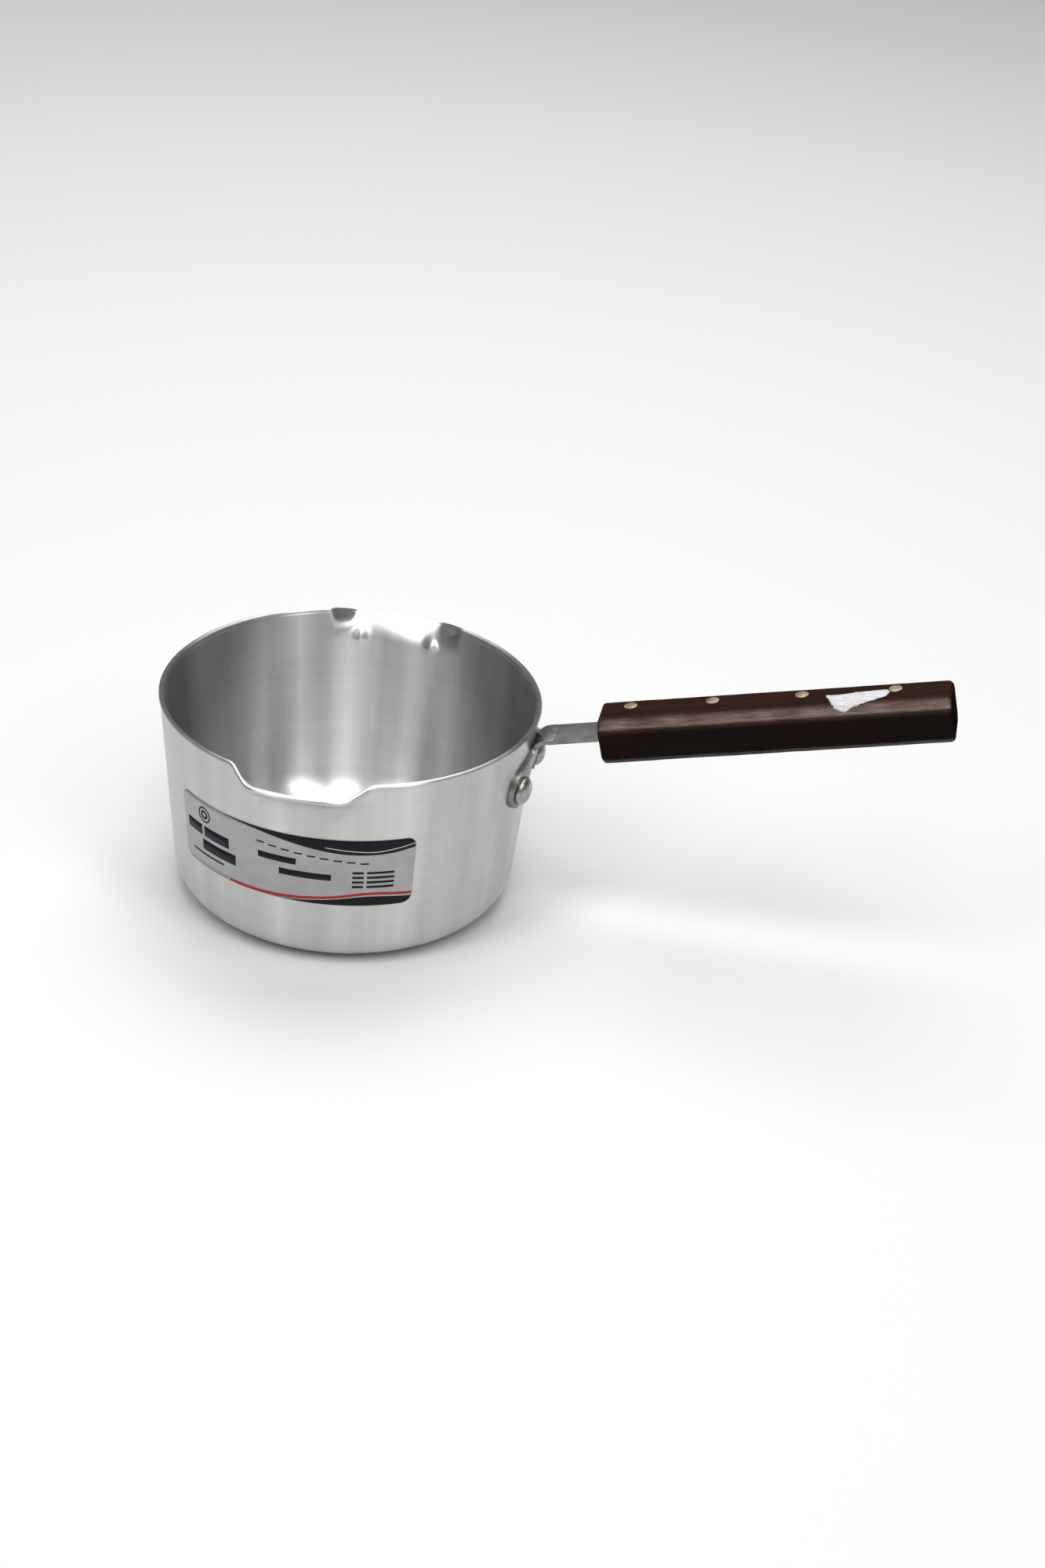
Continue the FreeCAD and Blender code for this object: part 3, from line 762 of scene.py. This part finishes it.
def build_pin(number, station, material, columns=40):
    """A brass pin filed flush, a hair proud of the wood at both ends."""
    low, high = GRIP_BOTTOM - PIN_PROUD, GRIP_TOP + PIN_PROUD
    profile = [
        (low, TIP_RADIUS), (low, PIN_RADIUS - PIN_EDGE), (low + PIN_EDGE * 0.3, PIN_RADIUS),
        (-STRAP / 2, PIN_RADIUS),
        (high - PIN_EDGE * 0.3, PIN_RADIUS), (high, PIN_RADIUS - PIN_EDGE), (high, TIP_RADIUS)]
    points = []
    for above, radius in profile:
        for column in range(columns):
            angle = 2 * math.pi * column / columns
            points.append(
                on_handle(station + radius * math.cos(angle), radius * math.sin(angle), above))
    faces = capped_tube(len(profile), columns)
    replaced = [f"handle_pin_{number}"]
    add_piece(f"pin_{number}_filed", points, faces, material, replaced)


# -------------------------------------------------------------------------------------- label

def smooth_height(azimuth, knots):
    """Height of a smooth curve through (azimuth, height) knots."""
    if azimuth <= knots[0][0]:
        return knots[0][1]
    for index in range(len(knots) - 1):
        (x0, y0), (x1, y1) = knots[index], knots[index + 1]
        if azimuth <= x1:
            before = knots[max(index - 1, 0)]
            after = knots[min(index + 2, len(knots) - 1)]
            slope0 = (y1 - before[1]) / (x1 - before[0])
            slope1 = (after[1] - y0) / (after[0] - x0)
            u, run = (azimuth - x0) / (x1 - x0), x1 - x0
            return ((2 * u ** 3 - 3 * u * u + 1) * y0 + (u ** 3 - 2 * u * u + u) * run * slope0
                    + (3 * u * u - 2 * u ** 3) * y1 + (u ** 3 - u * u) * run * slope1)
    return knots[-1][1]


def label_edge(azimuth, level):
    """Height of the label's lower or upper edge, level -1 or 1, with rounded corners."""
    side = min(azimuth - LABEL_AZIMUTHS[0], LABEL_AZIMUTHS[1] - azimuth)
    height = LABEL_HEIGHTS[0] if level < 0 else LABEL_HEIGHTS[1]
    from_end = math.radians(max(side, 0.0)) * wall_radius(height)
    if from_end >= LABEL_CORNER:
        return height
    drop = LABEL_CORNER - math.sqrt(LABEL_CORNER ** 2 - (LABEL_CORNER - from_end) ** 2)
    return height - level * drop


def label_low(azimuth):
    return label_edge(azimuth, -1)


def label_high(azimuth):
    return label_edge(azimuth, 1)


def printable(curve):
    """The curve of height over azimuth, kept just inside the label's edges."""
    def kept_inside(azimuth):
        return limited(
            curve(azimuth), label_low(azimuth) + PRINT_MARGIN, label_high(azimuth) - PRINT_MARGIN)
    return kept_inside


def through(knots, offset=0.0):
    """The smooth curve through the knots, raised by the offset."""
    return lambda azimuth: smooth_height(azimuth, knots) + offset


def level_at(height):
    return lambda azimuth: height


def spread(first, last, step=0.5):
    """Azimuths from first to last, about a step apart."""
    count = max(2, round((last - first) / step))
    return [first + (last - first) * index / count for index in range(count + 1)]


def label_columns(first, last):
    """Azimuths across the label, closer together in its rounded corners."""
    corner = math.degrees(LABEL_CORNER / wall_radius(LABEL_HEIGHTS[0]))
    ends = [corner * (1 - math.cos(math.pi / 2 * step / 8)) for step in range(8)]
    left, right = LABEL_AZIMUTHS
    columns = [left + end for end in ends]
    columns += spread(left + corner, right - corner, 0.6)
    columns += [right - end for end in ends[::-1]]
    return [azimuth for azimuth in columns if first <= azimuth <= last]


def add_band(
        name, azimuths, low, high, material, proud=PRINT_PROUD, thickness=PRINT_THICKNESS, rows=4):
    """A thin sheet on the wall between two curves of height over azimuth."""
    thinnest = 0.02
    points = []
    for azimuth in azimuths:
        bottom = low(azimuth)
        top = max(high(azimuth), bottom + thinnest)
        for row in range(rows + 1):
            points.append(on_wall(azimuth, top + (bottom - top) * row / rows, proud))
    faces = grid_faces(len(azimuths), rows + 1)
    band = add_piece(name, points, faces, material)
    add_modifier(band, "SOLIDIFY", thickness=thickness * MM, offset=-1.0)
    return band


def build_label(foil, navy, red, pale):
    """The foil and its coloured bands, without the printed words."""
    whole = add_band(
        "label_foil_sheet", label_columns(*LABEL_AZIMUTHS), label_low, label_high, foil,
        proud=LABEL_PROUD, thickness=LABEL_THICKNESS, rows=12)
    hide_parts("maker_label")
    last = LABEL_AZIMUTHS[1] - 0.15
    add_band(
        "label_top_swoosh", label_columns(TOP_SWOOSH[0][0], last),
        printable(through(TOP_SWOOSH)), printable(level_at(LABEL_HEIGHTS[1])), navy)
    add_band(
        "label_low_swoosh", label_columns(LOW_SWOOSH[0][0], last),
        printable(level_at(LABEL_HEIGHTS[0])), printable(through(LOW_SWOOSH)), navy)
    for name, knots, half, proud, ink in (
            ("label_light_line", LIGHT_LINE, 0.22, PRINT_PROUD + 0.03, pale),
            ("label_red_line", RED_LINE, 0.60, PRINT_PROUD, red)):
        azimuths = spread(knots[0][0], min(knots[-1][0], last))
        add_band(name, azimuths, through(knots, -half), through(knots, half), ink, proud=proud)


def add_ring(name, azimuth, height, radius, width, material, count=48):
    """A printed ring on the label."""
    degrees_per_mm = math.degrees(1 / wall_radius(height))
    points = []
    for index in range(count):
        angle = 2 * math.pi * index / count
        for reach in (radius, radius - width):
            across = reach * math.cos(angle) * degrees_per_mm
            points.append(on_wall(azimuth + across, height + reach * math.sin(angle), PRINT_PROUD))
    faces = grid_faces(count, 2, closed_rows=True)
    ring = add_piece(name, points, faces, material)
    add_modifier(ring, "SOLIDIFY", thickness=PRINT_THICKNESS * MM, offset=0.0)


def add_bar(name, first, last, height, thick, material):
    """A plain printed bar round the wall."""
    low, high = level_at(height - thick / 2), level_at(height + thick / 2)
    add_band(name, spread(first, last), low, high, material, rows=1)


def build_label_marks(navy):
    """A plain ring and plain bars where a real label has its printing."""
    ring_azimuth, ring_height = -127.0, 57.2
    add_ring("mark_ring_outer", ring_azimuth, ring_height, 3.7, 0.7, navy)
    add_ring("mark_ring_inner", ring_azimuth, ring_height, 2.1, 1.1, navy)
    wide, middling, small, dashed = 5.0, 3.0, 1.1, 0.7
    add_bar("mark_wide_upper_1", -136.0, -128.5, 49.2, wide, navy)
    add_bar("mark_wide_upper_2", -127.4, -116.5, 49.2, wide, navy)
    add_bar("mark_wide_lower", -128.5, -114.0, 42.4, wide, navy)
    add_bar("mark_wide_foot", -134.0, -119.0, 37.6, 0.9, navy)
    add_bar("mark_mid_upper", -105.5, -93.0, 50.6, middling, navy)
    add_bar("mark_mid_lower", -98.5, -82.0, 44.8, middling, navy)
    row_pitch = 2.3
    for row in range(4):
        height = 47.6 - row_pitch * row
        add_bar(f"mark_small_{row + 1}_left", -75.5, -72.0, height, small, navy)
        add_bar(f"mark_small_{row + 1}_right", -71.0, -62.5, height, small, navy)
    dash_pitch, dash_drop, dash_length = 4.1, 0.55, 2.6
    for column in range(9):
        first, height = -106.0 + dash_pitch * column, 56.6 - dash_drop * column
        add_bar(f"mark_dash_{column + 1}", first, first + dash_length, height, dashed, navy)


# -------------------------------------------------------------------------------- paper scrap

def scrap_height(across):
    """Height of the grip's skin above the handle axis, over its near upper bevel."""
    over_bevel = GRIP_NEAR + GRIP_CHAMFER - across
    return GRIP_TOP - max(0.0, over_bevel)


def divided(corners, step=0.55):
    """Points about a step apart along the closed outline through the corners."""
    outline = []
    for index, corner in enumerate(corners):
        start, end = Vector(corner), Vector(corners[(index + 1) % len(corners)])
        count = max(1, round((end - start).length / step))
        outline += [start.lerp(end, i / count) for i in range(count)]
    return outline


def torn(outline):
    """The outline with a fine and a coarse tear."""
    centre = sum(outline, Vector((0, 0))) / len(outline)
    jagged = []
    for point in outline:
        place = (point.x, point.y, 0)
        fine = 0.42 * rough(place, 0.9, seed=11)
        coarse = 0.3 * rough(place, 3.0, seed=5)
        jagged.append(point + (point - centre).normalized() * (fine + coarse))
    return jagged


def stepped(low, high, step):
    values = []
    while low < high:
        values.append(low)
        low += step
    return values


def build_scrap(material):
    """Torn paper: a jagged outline filled with small triangles, folded over the bevel."""
    pitch = 0.8
    lowest_across = GRIP_NEAR + 0.2
    outline = divided(SCRAP_OUTLINE)
    jagged = torn(outline)
    alongs = stepped(min(p.x for p in outline), max(p.x for p in outline), pitch)
    acrosses = stepped(min(p.y for p in outline), max(p.y for p in outline), pitch)
    inner = [Vector((along, across)) for across in acrosses for along in alongs]
    edges = [(i, (i + 1) % len(jagged)) for i in range(len(jagged))]
    flat, _, faces, *_ = geometry.delaunay_2d_cdt(jagged + inner, edges, [], 1, 0.01)
    points = []
    for point in flat:
        lift = SCRAP_LIFT + 0.07 * rough((point.x, point.y, 0), 4.0, seed=2)
        across = max(point.y, lowest_across)
        points.append(on_handle(point.x, across - 0.5 * lift, scrap_height(across) + lift))
    scrap = add_piece("price_tag_scrap", points, faces, material, ["price_tag_remnant"])
    add_modifier(scrap, "SOLIDIFY", thickness=SCRAP_THICKNESS * MM, offset=1.0)


# -------------------------------------------------------------------------- floor, light, camera

def build_stage(arc_steps=12):
    """A pale floor that curves up into a backdrop far behind."""
    reach, radius, rise = 6.0, 1.5, 4.0
    below_part = 0.00002
    profile = [(-reach, 0.0)]
    for step in range(arc_steps + 1):
        angle = math.pi / 2 * step / arc_steps
        profile.append((reach / 2 + radius * math.sin(angle), radius * (1 - math.cos(angle))))
    profile.append((reach / 2 + radius, rise))
    points = [(x, y, z) for y, z in profile for x in (-reach, reach)]
    material = new_material("pale_floor", Base_Color=FLOOR_COLOUR, Roughness=0.85)[-1]
    mesh = bpy.data.meshes.new("floor")
    mesh.from_pydata(points, [], grid_faces(len(profile), 2))
    mesh.materials.append(material)
    mesh.shade_smooth()
    floor = bpy.data.objects.new("floor", mesh)
    floor.location.z = -below_part
    bpy.context.scene.collection.objects.link(floor)


def soft_light(name, azimuth, elevation, distance, width, height, power):
    """A soft light aimed at the pot."""
    light = bpy.data.lights.new(name, "AREA")
    light.shape = "RECTANGLE"
    light.size = width
    light.size_y = height
    light.energy = power
    lamp = bpy.data.objects.new(name, light)
    a, e = math.radians(azimuth), math.radians(elevation)
    direction = Vector((math.sin(a) * math.cos(e), -math.cos(a) * math.cos(e), math.sin(e)))
    lamp.location = LIGHT_TARGET + direction * distance
    lamp.rotation_euler = direction.to_track_quat("Z", "Y").to_euler()
    bpy.context.scene.collection.objects.link(lamp)


def build_lights():
    world = bpy.data.worlds.new("studio")
    world.use_nodes = True
    background = world.node_tree.nodes["Background"]
    background.inputs["Color"].default_value = SURROUNDINGS
    background.inputs["Strength"].default_value = SURROUNDINGS_STRENGTH
    bpy.context.scene.world = world
    for light in LIGHTS:
        soft_light(*light)


def build_camera():
    camera = bpy.data.cameras.new("camera")
    camera.lens = LENS
    camera.sensor_width = 36.0
    camera.clip_end = 50.0
    turn = (
        Matrix.Rotation(VIEW_AZIMUTH, 3, "Z")
        @ Matrix.Rotation(math.pi / 2 - VIEW_ELEVATION, 3, "X")
        @ Matrix.Rotation(VIEW_ROLL, 3, "Z"))
    right, up, back = turn.col
    rim_middle = Vector((0.0, 0.0, POT_HEIGHT))
    place = rim_middle + right * VIEW_RIGHT - up * VIEW_DOWN + back * VIEW_DISTANCE
    stand = bpy.data.objects.new("camera", camera)
    stand.matrix_world = Matrix.Translation(place * MM) @ turn.to_4x4()
    bpy.context.scene.collection.objects.link(stand)
    bpy.context.scene.camera = stand


# -------------------------------------------------------------------------------------- build

def build_object():
    build_pot(spun_aluminium())
    build_bracket(bracket_steel())
    rivet = rivet_aluminium()
    build_rivet("pot_rivet_front", -1, rivet)
    build_rivet("pot_rivet_rear", 1, rivet)
    build_grip(dark_wood())
    brass = pin_brass()
    for number, station in enumerate(PIN_STATIONS, start=1):
        build_pin(number, station, brass)
    navy = printed_ink("ink_navy", (0.0065, 0.0052, 0.0105))
    red = printed_ink("ink_red", (0.34, 0.018, 0.012))
    pale = printed_ink("ink_pale", (0.42, 0.42, 0.44))
    build_label(label_foil(), navy, red, pale)
    build_label_marks(navy)
    build_scrap(torn_paper())


build_object()
build_stage()
build_lights()
build_camera()
bpy.context.scene.view_settings.view_transform = "Standard"
